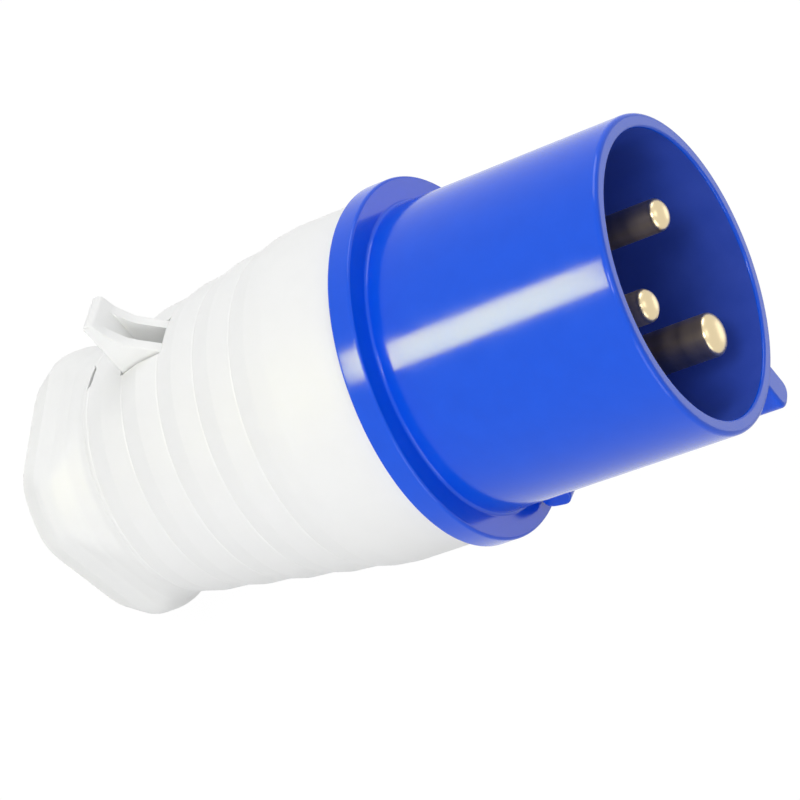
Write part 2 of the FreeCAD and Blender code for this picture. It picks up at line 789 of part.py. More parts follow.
def make_latch_lever():
    """Channel-shaped tab on a rocking lever, with a tail that reaches the cap's ratchet ring."""
    body = new_body("latch_lever")
    side = outline(body, "latch_outline", "XZ_Plane", [
        ("tail_radius", "tail_rear"),
        ("tail_radius + tail_thickness", "tail_rear"),
        ("tail_radius + tail_thickness", "tab_rear - 1.2"),
        ("pivot_radius + hub_radius", "tab_rear"),
        ("tab_height - 0.6", "tab_rear"),
        ("tab_height", "tab_rear + 0.6"),
        ("tab_height - 0.3", "tab_rear + 2.0"),
        ("tab_foot_radius + 0.71 * tab_rise", "tab_rear + 0.27 * tab_length"),
        ("tab_foot_radius + 0.47 * tab_rise", "tab_rear + 0.41 * tab_length"),
        ("tab_foot_radius + 0.29 * tab_rise", "tab_rear + 0.53 * tab_length"),
        ("tab_foot_radius + 0.18 * tab_rise", "tab_rear + 0.72 * tab_length"),
        ("tab_foot_radius + 0.03 * tab_rise", "tab_front - 0.12 * tab_length"),
        ("tab_foot_radius", "tab_front"),
        ("tab_foot_radius - tab_front_depth", "tab_front"),
        ("pivot_radius + hub_radius * 0.5", "pivot_level + hub_radius * 0.87"),
        ("pivot_radius", "pivot_level + hub_radius"),
        ("pivot_radius - hub_radius * 0.71", "pivot_level + hub_radius * 0.71"),
        ("pivot_radius - hub_radius", "pivot_level"),
        ("pivot_radius - hub_radius * 0.71", "pivot_level - hub_radius * 0.71"),
        ("tail_radius", "pivot_level - hub_radius - 0.8"),
    ])
    pad(body, "latch_plate", side, "latch_width", middle=True)
    gap = outline(body, "channel_outline", "XZ_Plane", [
        ("tab_height + 2", "tab_rear + tab_web"),
        ("tab_height + 2", "tab_front + 2"),
        ("pivot_radius - hub_radius - 1", "tab_front + 2"),
        ("pivot_radius - hub_radius - 1", "tab_rear + tab_web"),
    ])
    pocket(body, "latch_channel", gap, "latch_width - 2 * latch_cheek", middle=True)
    hole = new_sketch(body, "pivot_hole_outline", "XZ_Plane")
    ring(hole, ("pivot_radius", "pivot_level"), "pivot_pin_radius + pivot_play")
    pocket(body, "pivot_hole", hole, "latch_width * 1.5", middle=True)
    turn_to(body, "latch_angle")
    return body


def make_lever_pin():
    """Steel pin that the latch lever rocks on."""
    body = new_body("lever_pin")
    sketch = new_sketch(body, "lever_pin_outline", "XZ_Plane")
    ring(sketch, ("pivot_radius", "pivot_level"), "pivot_pin_radius")
    pad(body, "lever_pin_shaft", sketch, "2 * window_half + 2 * bracket_thickness", middle=True)
    turn_to(body, "latch_angle")
    return body


def spring_path():
    """Points along the spring: a straight leg towards the front, then the turns round the pin."""
    coil = read("spring_coil")
    step = read("spring_step")
    turns = int(read("spring_turns"))
    centre = Vector(read("pivot_radius"), 0, read("pivot_level"))
    half = turns * step / 2
    spread = FreeCAD.Rotation(Vector(0, 1, 0), 30)
    places = []
    arm = Vector(-coil, 0, 0)
    places.append(centre + arm + Vector(0, -half, read("spring_leg")))
    places.append(centre + arm + Vector(0, -half, read("spring_leg") / 2))
    for index in range(12 * turns + 7):
        slide = -half + step * index / 12
        places.append(centre + arm + Vector(0, slide, 0))
        arm = spread.inverted().multVec(arm)
    return places


def make_lever_spring():
    """Wound wire spring round the lever pin."""
    curve = Part.BSplineCurve()
    curve.interpolate(spring_path())
    path = Part.Wire([curve.toShape()])
    start = curve.value(curve.FirstParameter)
    heading = curve.tangent(curve.FirstParameter)[0]
    rim = Part.Wire([Part.Circle(start, heading, read("spring_wire")).toShape()])
    piece = doc.addObject("Part::Feature", "lever_spring")
    piece.Label = "lever_spring"
    piece.Shape = path.makePipeShell([rim], True, True)
    turn_to(piece, "latch_angle")
    return piece


def check_and_export(pieces):
    """Stop on a broken feature or solid, then write one file for each piece."""
    doc.recompute()
    for thing in doc.Objects:
        if "Invalid" in thing.State or "Error" in thing.State:
            raise RuntimeError("broken feature: %s %s" % (thing.Name, thing.State))
    os.makedirs("parts", exist_ok=True)
    for piece in pieces:
        shape = piece.Shape
        if shape.isNull() or not shape.isValid():
            raise RuntimeError("broken shape: " + piece.Label)
        print("%-24s solids %d volume %10.1f" % (piece.Label, len(shape.Solids), shape.Volume))
        shape.exportStep("parts/%s.step" % piece.Label)


def main():
    """Build every piece and write the files."""
    line, neutral, earth = contact_places()
    pieces = [
        make_front_shroud(),
        make_pin_carrier(),
        make_retainer_plate(),
        make_contact("line_pin", line, "pole_wire_hole"),
        make_contact("neutral_pin", neutral, "pole_wire_hole"),
        make_contact("earth_pin", earth, "earth_wire_hole"),
        make_clamp_screw("line_clamp_screw", line, "pole_wire_hole"),
        make_clamp_screw("neutral_clamp_screw", neutral, "pole_wire_hole"),
        make_clamp_screw("earth_clamp_screw", earth, "earth_wire_hole"),
        make_fixing_screw("carrier_screw_1", "fixing_angle"),
        make_fixing_screw("carrier_screw_2", "-fixing_angle"),
        make_rear_housing(),
        make_housing_seal(),
        make_latch_lever(),
        make_lever_pin(),
        make_lever_spring(),
        make_cable_cap(),
        make_slip_washer(),
        make_gland_collet(),
        make_gland_seal(),
    ]
    check_and_export(pieces)


main()
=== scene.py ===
"""Portrait of a splash-proof pin-and-sleeve plug: mouldings, contacts, gland, latch and studio."""

import logging
import math
from dataclasses import dataclass, field
from enum import Enum
from typing import Callable

import bmesh
import bpy
import numpy as np
from mathutils import Matrix, Vector


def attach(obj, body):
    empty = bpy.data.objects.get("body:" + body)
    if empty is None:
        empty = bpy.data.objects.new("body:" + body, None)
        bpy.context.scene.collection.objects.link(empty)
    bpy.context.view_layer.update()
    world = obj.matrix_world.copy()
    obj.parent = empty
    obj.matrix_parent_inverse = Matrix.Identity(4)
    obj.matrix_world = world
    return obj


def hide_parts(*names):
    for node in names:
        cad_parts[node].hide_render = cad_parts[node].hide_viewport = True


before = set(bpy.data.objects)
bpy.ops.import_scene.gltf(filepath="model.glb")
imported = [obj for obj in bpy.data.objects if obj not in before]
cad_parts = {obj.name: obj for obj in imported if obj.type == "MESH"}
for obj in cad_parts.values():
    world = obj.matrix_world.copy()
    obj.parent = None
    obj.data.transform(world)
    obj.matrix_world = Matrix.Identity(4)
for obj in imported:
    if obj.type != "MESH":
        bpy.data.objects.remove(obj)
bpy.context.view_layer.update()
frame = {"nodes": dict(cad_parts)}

LOG = logging.getLogger("plug")
MM = 0.001
NEAR = 0.02  # millimetres within which a row of a profile counts as lying at a radius
DRIFT = (0.3, 0.7)  # span of the noise over which colour and gloss change
RadiusRule = Callable[[np.ndarray, np.ndarray], np.ndarray]


class Slot(Enum):
    """Names of material slots for the shells, cap, lever and contacts."""

    BLUE_SHELL = "blue_shell"
    WHITE_SHELL = "white_shell"
    WHITE_CAP = "white_cap"
    WHITE_LEVER = "white_lever"
    BRASS = "contact_brass"


class Body(Enum):
    """Rigid groups of the plug that pieces ride on."""

    HOUSING = "housing"
    CAP = "cap"
    LATCH = "latch"


class Operation(Enum):
    """What happens between a piece and another body."""

    ADD = "UNION"
    CUT = "DIFFERENCE"


class Sweep(Enum):
    """How an outline lies: its first axis, its second axis and the way it is swept."""

    UP = ("outwards", "sideways", "upwards")
    ACROSS = ("outwards", "upwards", "sideways")
    OUT = ("upwards", "sideways", "outwards")


# ---- meshes --------------------------------------------------------------------------------


def softened(
    corners: np.ndarray, radii: np.ndarray, steps: int, closed: bool = True
) -> np.ndarray:
    """Profile whose corners are eased by curves tangent to both neighbouring sides.

    Each corner becomes a parabola: (1-u)^2 start + 2u(1-u) corner + u^2 end, where start and
    end lie on the two sides at radius / tan(half the corner's angle), or less on short sides.

    Args:
        corners: Points of the profile in order, one row each.
        radii: Easing radius at each corner.
        steps: Points on each eased corner.
        closed: Whether the last corner joins the first.

    Returns:
        Points of the eased profile.
    """
    back = np.roll(corners, 1, axis=0) - corners
    ahead = np.roll(corners, -1, axis=0) - corners
    back_length = np.maximum(np.linalg.norm(back, axis=1), 1e-9)
    ahead_length = np.maximum(np.linalg.norm(ahead, axis=1), 1e-9)
    back = back / back_length[:, None]
    ahead = ahead / ahead_length[:, None]
    cosine = np.clip(np.sum(back * ahead, axis=1), -0.999999, 0.999999)
    half_tangent = np.sqrt((1 - cosine) / (1 + cosine))
    trim = np.minimum(radii / half_tangent, 0.48 * np.minimum(back_length, ahead_length))
    if not closed:
        trim[0] = trim[-1] = 0.0
    along = np.linspace(0.0, 1.0, steps)[None, :, None]
    start = (corners + back * trim[:, None])[:, None, :]
    end = (corners + ahead * trim[:, None])[:, None, :]
    middle = corners[:, None, :]
    eased = (1 - along) ** 2 * start + 2 * along * (1 - along) * middle + along ** 2 * end
    if closed:
        return eased.reshape(-1, 2)
    return np.vstack([corners[:1], eased[1:-1].reshape(-1, 2), corners[-1:]])


def refined(profile: np.ndarray, longest: float, radius: float | None = None) -> np.ndarray:
    """Closed profile with points added at even steps on sides longer than a length.

    Args:
        profile: Points in order, one row each.
        longest: Longest side that is left whole.
        radius: If given, only the sides at this radius get more points.

    Returns:
        Points of the same profile, more closely spaced.
    """
    loop = np.vstack([profile, profile[:1]])
    run = np.concatenate([[0.0], np.cumsum(np.linalg.norm(np.diff(loop, axis=0), axis=1))])
    extra = np.arange(0.0, run[-1], longest)
    if radius is not None:
        extra = extra[np.abs(np.interp(extra, run, loop[:, 0]) - radius) < NEAR]
    stations = np.unique(np.round(np.concatenate([run[:-1], extra]), 6))
    return np.stack([np.interp(stations, run, loop[:, axis]) for axis in (0, 1)], axis=1)


def new_piece(
    name: str, points: np.ndarray, faces: np.ndarray, caps: tuple[tuple[int, ...], ...] = ()
) -> bpy.types.Object:
    """Mesh object with its place in its mesh.

    Args:
        name: Name of the piece.
        points: Corners in millimetres, one row each.
        faces: Four corner numbers a row.
        caps: Further faces, each a row of corner numbers.

    Returns:
        The new object, linked to the scene.
    """
    mesh = bpy.data.meshes.new(name)
    mesh.from_pydata((points * MM).tolist(), [], faces.tolist() + [list(cap) for cap in caps])
    piece = bpy.data.objects.new(name, mesh)
    bpy.context.scene.collection.objects.link(piece)
    tidy_mesh(piece)
    return piece


def tidy_mesh(piece: bpy.types.Object) -> None:
    """Merges doubled corners, drops flat slivers and turns all faces outwards.

    Args:
        piece: Mesh object to tidy.
    """
    work = bmesh.new()
    work.from_mesh(piece.data)
    bmesh.ops.remove_doubles(work, verts=work.verts, dist=1e-7)
    bmesh.ops.dissolve_degenerate(work, edges=work.edges, dist=1e-8)
    bmesh.ops.recalc_face_normals(work, faces=work.faces)
    work.to_mesh(piece.data)
    work.free()


def grid_faces(
    rows: np.ndarray, next_rows: np.ndarray, columns: np.ndarray, stride: int
) -> np.ndarray:
    """Faces between neighbouring rows and columns of a grid of points.

    The point in row r and column c has the number r * stride + c. The last column of the
    grid is followed by the first.

    Args:
        rows: Row on the near side of each strip of faces.
        next_rows: Row on the far side of each strip.
        columns: First column of each face in a strip.
        stride: Points in a row.

    Returns:
        Four corner numbers a row.
    """
    near, far = rows[:, None] * stride, next_rows[:, None] * stride
    following = (columns + 1) % stride
    return np.stack(
        [near + columns, far + columns, far + following, near + following], axis=-1
    ).reshape(-1, 4)


def lathe(
    name: str,
    profile: np.ndarray,
    segments: int,
    shape: RadiusRule | None = None,
    closed: bool = True,
) -> bpy.types.Object:
    """Surface of revolution about the plug's axis, with an optional change of radius.

    The point for angle a and profile row (r, z) is (R cos a, R sin a, z), where R is r or,
    if a shape is given, shape(a, row).

    Args:
        name: Name of the piece.
        profile: Rows of radius and level in millimetres.
        segments: Steps round the axis.
        shape: Gives the radii for a column of angles and the profile.
        closed: Whether the profile is a loop; otherwise it starts and ends on the axis.

    Returns:
        The new object.
    """
    angles = np.arange(segments)[:, None] * (2 * math.pi / segments)
    if shape is None:
        radii = np.repeat(profile[None, :, 0], segments, axis=0)
    else:
        radii = shape(angles, profile)
    levels = np.repeat(profile[None, :, 1], segments, axis=0)
    points = np.stack([radii * np.cos(angles), radii * np.sin(angles), levels], axis=-1)
    count = len(profile)
    rows = np.arange(segments)
    columns = np.arange(count if closed else count - 1)
    faces = grid_faces(rows, (rows + 1) % segments, columns, count)
    return new_piece(name, points.reshape(-1, 3), faces)


def drawn_in(corners: np.ndarray, inset: float) -> np.ndarray:
    """Polygon whose sides all move inwards by the same distance.

    Each corner moves along the sum of its two sides' inward normals, divided by one plus
    their dot product, so that both sides stay parallel to where they were.

    Args:
        corners: Corners in order, anticlockwise, one row each.
        inset: Inward move.

    Returns:
        Moved corners.
    """
    side = np.roll(corners, -1, axis=0) - corners
    side = side / np.maximum(np.linalg.norm(side, axis=1), 1e-9)[:, None]
    normal = np.stack([-side[:, 1], side[:, 0]], axis=1)
    before = np.roll(normal, 1, axis=0)
    share = 1 + np.sum(normal * before, axis=1)
    return corners + inset * (normal + before) / share[:, None]


def laid_out(flat: np.ndarray, along: np.ndarray, sweep: Sweep, angle_deg: float) -> np.ndarray:
    """Points in space of an outline that is swept along a straight line.

    The point at distances o outwards and s sideways, level z and angle t is
    (o cos t - s sin t, o sin t + s cos t, z).

    Args:
        flat: Outline points, two coordinates each.
        along: Distance of each point along the line.
        sweep: How the outline lies.
        angle_deg: Direction outwards, in degrees from the key.

    Returns:
        Points in space, in the order of the outline points.
    """
    first, second = flat[..., 0], flat[..., 1]
    outwards, sideways, level = {
        Sweep.UP: (first, second, along),
        Sweep.ACROSS: (first, -along, second),
        Sweep.OUT: (along, second, first),
    }[sweep]
    cosine, sine = math.cos(math.radians(angle_deg)), math.sin(math.radians(angle_deg))
    return np.stack(
        [outwards * cosine - sideways * sine, outwards * sine + sideways * cosine, level], axis=-1)


def extrusion(
    name: str,
    rows: np.ndarray,
    stations: np.ndarray,
    insets: np.ndarray,
    sweep: Sweep,
    angle_deg: float,
    steps: int,
) -> bpy.types.Object:
    """Closed body swept along a straight line, drawn in towards its ends.

    At each station the outline is the polygon drawn in by the inset there, with outer
    corners eased by their radius less the inset and inner corners by the radius plus it.

    Args:
        name: Name of the piece.
        rows: Two coordinates and the easing radius of each corner, anticlockwise.
        stations: Distances along the line.
        insets: Inward moves at the stations.
        sweep: How the outline lies.
        angle_deg: Direction outwards, in degrees from the key.
        steps: Points on each eased corner.

    Returns:
        The new object.
    """
    corners = rows[:, :2]
    before = corners - np.roll(corners, 1, axis=0)
    after = np.roll(corners, -1, axis=0) - corners
    outer = np.sign(before[:, 0] * after[:, 1] - before[:, 1] * after[:, 0])
    flat = np.stack([
        softened(drawn_in(corners, inset), np.maximum(rows[:, 2] - outer * inset, 0.03), steps)
        for inset in insets
    ])
    along = np.repeat(stations[:, None], flat.shape[1], axis=1)
    points = laid_out(flat, along, sweep, angle_deg)
    count = flat.shape[1]
    rungs = np.arange(len(stations) - 1)
    faces = grid_faces(rungs, rungs + 1, np.arange(count), count)[:, [0, 3, 2, 1]]
    last = (len(stations) - 1) * count
    caps = (tuple(range(count - 1, -1, -1)), tuple(range(last, last + count)))
    return new_piece(name, points.reshape(-1, 3), faces, caps)


def rounded_ends(
    low: float, high: float, ease_low: float, ease_high: float
) -> tuple[np.ndarray, np.ndarray]:
    """Stations and insets of a body whose two ends are rounded by quarter circles.

    Args:
        low: First station.
        high: Last station.
        ease_low: Radius at the first end.
        ease_high: Radius at the last end.

    Returns:
        Stations and the inset at each.
    """
    quarter = np.linspace(0.0, math.pi / 2, 6)
    start = low + ease_low * (1 - np.sin(quarter))[::-1]
    start_inset = ease_low * (1 - np.cos(quarter))[::-1]
    end = high - ease_high * (1 - np.sin(quarter))
    end_inset = ease_high * (1 - np.cos(quarter))
    return np.concatenate([start, end]), np.concatenate([start_inset, end_inset])


def settle(piece: bpy.types.Object) -> None:
    """Applies every modifier of a piece.

    Args:
        piece: Object whose modifiers become part of its mesh.
    """
    bpy.context.view_layer.update()
    graph = bpy.context.evaluated_depsgraph_get()
    mesh = bpy.data.meshes.new_from_object(piece.evaluated_get(graph))
    mesh.name = piece.name
    piece.modifiers.clear()
    piece.data = mesh


def combine(piece: bpy.types.Object, tool: bpy.types.Object, operation: Operation) -> None:
    """Adds another body to a piece or cuts it out, and removes that body.

    Args:
        piece: Object that is changed.
        tool: Object that is added or cut out.
        operation: Whether the body is added or cut out.
    """
    step = piece.modifiers.new(operation.name.title(), "BOOLEAN")
    step.operation = operation.value
    step.solver = "EXACT"
    step.object = tool
    settle(piece)
    bpy.data.objects.remove(tool)


def smooth(piece: bpy.types.Object, angle_deg: float = 38.0) -> None:
    """Shades a piece smoothly, apart from edges sharper than an angle.

    Args:
        piece: Mesh object.
        angle_deg: Sharpest angle that is still shaded smoothly.
    """
    mesh = piece.data
    mesh.polygons.foreach_set("use_smooth", np.ones(len(mesh.polygons), dtype=bool))
    mesh.set_sharp_from_angle(angle=math.radians(angle_deg))
    weighting = piece.modifiers.new("FaceWeights", "WEIGHTED_NORMAL")
    weighting.keep_sharp = True
    weighting.weight = 80


# ---- shader groups and finishes ------------------------------------------------------------


class Wiring:
    """Adds and joins shader nodes in one tree."""

    def __init__(self, tree: bpy.types.NodeTree) -> None:
        """Keeps the tree that the nodes go into."""
        self.tree = tree

    def add(self, kind: str, **values: object) -> bpy.types.Node:
        """Adds a node.

        Args:
            kind: Node type.
            values: Properties of the node, or values of its inputs by name.

        Returns:
            The new node.
        """
        node = self.tree.nodes.new(kind)
        for name, value in values.items():
            if hasattr(node, name):
                setattr(node, name, value)
            else:
                node.inputs[name.replace("_", " ")].default_value = value
        return node

    def join(
        self, source: bpy.types.Node, output: str, target: bpy.types.Node, into: str | int
    ) -> None:
        """Joins an output of one node to an input of another, each by its name or number."""
        self.tree.links.new(source.outputs[output], target.inputs[into])

    def sees_background(self) -> bpy.types.Node:
        """Adds a node whose Value is one for camera, glass and gloss rays and else zero."""
        path = self.add("ShaderNodeLightPath")
        seen = self.add("ShaderNodeMath", operation="MAXIMUM")
        shown = self.add("ShaderNodeMath", operation="MAXIMUM")
        self.join(path, "Is Camera Ray", seen, 0)
        self.join(path, "Is Transmission Ray", seen, 1)
        self.join(seen, "Value", shown, 0)
        self.join(path, "Is Glossy Ray", shown, 1)
        return shown


def grey(value: float) -> tuple[float, float, float, float]:
    """Opaque grey of one value in all three channels."""
    return (value, value, value, 1.0)


def new_group(
    name: str, inputs: dict[str, float], outputs: tuple[str, ...]
) -> tuple[bpy.types.NodeTree, Wiring, bpy.types.Node, bpy.types.Node]:
    """Empty shader group with number sockets.

    Args:
        name: Name of the group.
        inputs: Input names with their usual values.
        outputs: Output names.

    Returns:
        The group, its wiring, and its input and output nodes.
    """
    group = bpy.data.node_groups.new(name, "ShaderNodeTree")
    for label, value in inputs.items():
        socket = group.interface.new_socket(label, in_out="INPUT", socket_type="NodeSocketFloat")
        socket.default_value = value
    for label in outputs:
        group.interface.new_socket(label, in_out="OUTPUT", socket_type="NodeSocketFloat")
    wiring = Wiring(group)
    return group, wiring, wiring.add("NodeGroupInput"), wiring.add("NodeGroupOutput")


def moulded_surface_group() -> bpy.types.NodeTree:
    """Surface of a plastic moulding: fine tool grain, slow waves, and faint mottling.

    Returns:
        Group with inputs Grain and Wave, in marks a metre, and Wave Share, and outputs Height
        and Mottle.
    """
    inputs = {"Grain": 2600.0, "Wave": 90.0, "Wave Share": 0.5}
    group, wiring, given, out = new_group("moulded_surface", inputs, ("Height", "Mottle"))
    place = wiring.add("ShaderNodeTexCoord")
    grain = wiring.add("ShaderNodeTexNoise", Detail=3.0, Roughness=0.6)
    wave = wiring.add("ShaderNodeTexNoise", Detail=2.0, Roughness=0.45)
    mottle = wiring.add("ShaderNodeTexNoise", Scale=210.0, Detail=5.0, Roughness=0.55)
    mix = wiring.add("ShaderNodeMix", data_type="FLOAT")
    for noise in (grain, wave, mottle):
        wiring.join(place, "Object", noise, "Vector")
    wiring.join(given, "Grain", grain, "Scale")
    wiring.join(given, "Wave", wave, "Scale")
    wiring.join(given, "Wave Share", mix, "Factor")
    wiring.join(grain, "Fac", mix, "A")
    wiring.join(wave, "Fac", mix, "B")
    wiring.join(mix, "Result", out, "Height")
    wiring.join(mottle, "Fac", out, "Mottle")
    return group


def turned_marks_group() -> bpy.types.NodeTree:
    """Marks that a lathe leaves: noise drawn out across the axis and fine along it.

    Returns:
        Group with the input Pitch, in marks a metre, and outputs Height and Streak.
    """
    drawn_out = 0.05
    group, wiring, given, out = new_group("turned_marks", {"Pitch": 2400.0}, ("Height", "Streak"))
    place = wiring.add("ShaderNodeTexCoord")
    parts = wiring.add("ShaderNodeSeparateXYZ")
    drawn = wiring.add("ShaderNodeCombineXYZ")
    marks = wiring.add("ShaderNodeTexNoise", Detail=4.0, Roughness=0.7)
    bands = wiring.add("ShaderNodeTexNoise", Scale=320.0, Detail=2.0, Roughness=0.5)
    wiring.join(place, "Object", parts, "Vector")
    for axis in ("X", "Y"):
        slow = wiring.add("ShaderNodeMath", operation="MULTIPLY")
        slow.inputs[1].default_value = drawn_out
        wiring.join(parts, axis, slow, 0)
        wiring.join(slow, "Value", drawn, axis)
    wiring.join(parts, "Z", drawn, "Z")
    wiring.join(drawn, "Vector", marks, "Vector")
    wiring.join(drawn, "Vector", bands, "Vector")
    wiring.join(given, "Pitch", marks, "Scale")
    wiring.join(marks, "Fac", out, "Height")
    wiring.join(bands, "Fac", out, "Streak")
    return group


@dataclass(frozen=True)
class Groups:
    """Shader groups that several finishes share."""

    moulded: bpy.types.NodeTree
    turned: bpy.types.NodeTree


@dataclass(frozen=True)
class Finish:
    """A surface finish: two colours that drift into each other, gloss, and a fine relief."""

    name: str
    colour: tuple[float, float, float]
    second: tuple[float, float, float]
    roughness: tuple[float, float]
    metallic: float = 0.0
    specular: float = 0.5
    relief: float = 0.02
    grain: float = 2600.0
    wave: float = 90.0
    wave_share: float = 0.5
    turned: bool = False
    pitch: float = 2400.0

    def material(self, groups: Groups) -> bpy.types.Material:
        """Makes the material.

        Args:
            groups: Shared shader groups.

        Returns:
            The material.
        """
        material = bpy.data.materials.new(self.name)
        material.use_nodes = True
        wiring = Wiring(material.node_tree)
        surface = material.node_tree.nodes["Principled BSDF"]
        surface.inputs["Metallic"].default_value = self.metallic
        surface.inputs["Specular IOR Level"].default_value = self.specular
        if self.turned:
            drift = "Streak"
            group = wiring.add("ShaderNodeGroup", node_tree=groups.turned, Pitch=self.pitch)
        else:
            drift = "Mottle"
            group = wiring.add(
                "ShaderNodeGroup", node_tree=groups.moulded, Grain=self.grain, Wave=self.wave,
                Wave_Share=self.wave_share)
        tint = wiring.add("ShaderNodeValToRGB")
        for stop, position, colour in zip(
            tint.color_ramp.elements, DRIFT, (self.second, self.colour)
        ):
            stop.position = position
            stop.color = (*colour, 1.0)
        wiring.join(group, drift, tint, "Fac")
        wiring.join(tint, "Color", surface, "Base Color")
        gloss = wiring.add(
            "ShaderNodeMapRange", From_Min=DRIFT[0], From_Max=DRIFT[1],
            To_Min=self.roughness[0], To_Max=self.roughness[1])
        wiring.join(group, drift, gloss, "Value")
        wiring.join(gloss, "Result", surface, "Roughness")
        relief = wiring.add("ShaderNodeBump", Strength=1.0, Distance=self.relief * MM)
        wiring.join(group, "Height", relief, "Height")
        wiring.join(relief, "Normal", surface, "Normal")
        return material


FINISHES = {
    "blue": Finish(
        "blue_gloss_plastic", (0.002, 0.090, 0.76), (0.001, 0.084, 0.73), (0.12, 0.18),
        specular=0.30, relief=0.010, grain=900.0, wave=70.0, wave_share=0.7),
    # Painted shade: a darker copy of the blue shell plastic, used on the faces inside the shroud
    # to stand for the shade in the cavity.
    "blue_cavity_painted_shade": Finish(
        "blue_plastic_cavity_painted_shade", (0.040, 0.090, 0.53), (0.034, 0.080, 0.49), (0.30, 0.40),
        specular=0.4, relief=0.012, grain=900.0, wave=70.0, wave_share=0.7),
    "white": Finish(
        "white_satin_plastic", (0.90, 0.905, 0.90), (0.888, 0.893, 0.888), (0.56, 0.64),
        specular=0.22, relief=0.012, grain=3200.0, wave=120.0, wave_share=0.35),
    "cap_white": Finish(
        "white_cap_plastic", (0.895, 0.90, 0.895), (0.883, 0.888, 0.883), (0.56, 0.64),
        specular=0.22, relief=0.014, grain=2800.0, wave=110.0, wave_share=0.35),
    "tab_white": Finish(
        "white_tab_plastic", (0.89, 0.895, 0.89), (0.875, 0.88, 0.875), (0.54, 0.62),
        specular=0.22, relief=0.012, grain=2800.0),
    # Partly painted shade: the shank brass is darker than the tip brass to stand for the shade the
    # shanks sit in inside the shroud; its rougher turned finish is real.
    "brass": Finish(
        "turned_brass_painted_shade", (0.62, 0.51, 0.37), (0.50, 0.41, 0.30), (0.38, 0.48), metallic=1.0,
        relief=0.018, turned=True, pitch=2600.0),
    "brass_tip": Finish(
        "polished_brass", (0.80, 0.665, 0.42), (0.74, 0.605, 0.37), (0.26, 0.34), metallic=1.0,
        relief=0.003, turned=True, pitch=2600.0),
    "carrier": Finish(
        "carrier_plastic", (0.012, 0.045, 0.26), (0.010, 0.038, 0.22), (0.35, 0.45),
        relief=0.02),
    "retainer": Finish(
        "retainer_plastic", (0.30, 0.31, 0.33), (0.26, 0.27, 0.29), (0.5, 0.6),
        relief=0.02),
    "plated": Finish(
        "plated_steel", (0.66, 0.66, 0.64), (0.56, 0.57, 0.56), (0.22, 0.34), metallic=1.0,
        relief=0.006, turned=True, pitch=3000.0),
    "steel": Finish(
        "ground_steel", (0.58, 0.58, 0.59), (0.48, 0.48, 0.50), (0.20, 0.30), metallic=1.0,
        relief=0.004, turned=True, pitch=4200.0),
    "rubber": Finish(
        "seal_rubber", (0.022, 0.022, 0.024), (0.015, 0.015, 0.017), (0.62, 0.75),
        relief=0.03, grain=1800.0),
    "collet": Finish(
        "collet_plastic", (0.52, 0.54, 0.55), (0.47, 0.49, 0.50), (0.42, 0.52),
        relief=0.015),
    "washer": Finish(
        "washer_plastic", (0.78, 0.78, 0.76), (0.72, 0.72, 0.70), (0.40, 0.50),
        relief=0.015),
}


def dress(piece: bpy.types.Object, material: bpy.types.Material) -> None:
    """Gives a piece one material all over.

    Args:
        piece: Object to dress.
        material: Its material.
    """
    if piece.data.materials:
        for index in range(len(piece.data.materials)):
            piece.data.materials[index] = material
    else:
        piece.data.materials.append(material)


def dress_where(
    piece: bpy.types.Object, material: bpy.types.Material, chosen: np.ndarray
) -> None:
    """Gives some faces of a piece a second material.

    Args:
        piece: Object to dress.
        material: Material of the chosen faces.
        chosen: Truth value of every face.
    """
    piece.data.materials.append(material)
    index = np.where(chosen, len(piece.data.materials) - 1, 0).astype(np.int32)
    piece.data.polygons.foreach_set("material_index", index)


def face_centres(piece: bpy.types.Object) -> np.ndarray:
    """Middles of a piece's faces in millimetres, one row each.

    Args:
        piece: Mesh object.

    Returns:
        Array of face middles.
    """
    centres = np.empty(len(piece.data.polygons) * 3, dtype=np.float32)
    piece.data.polygons.foreach_get("center", centres)
    return centres.reshape(-1, 3) / MM


def stand_for(piece: bpy.types.Object, node: str, body: Body) -> None:
    """Lets a piece ride on a body and stand for a node.

    Args:
        piece: New piece.
        node: CAD node that it replaces.
        body: Body that it rides on.
    """
    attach(piece, body.value)
    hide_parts(node)
    LOG.info("%s stands for %s, %d faces", piece.name, node, len(piece.data.polygons))


# ---- sub-assemblies ------------------------------------------------------------------------


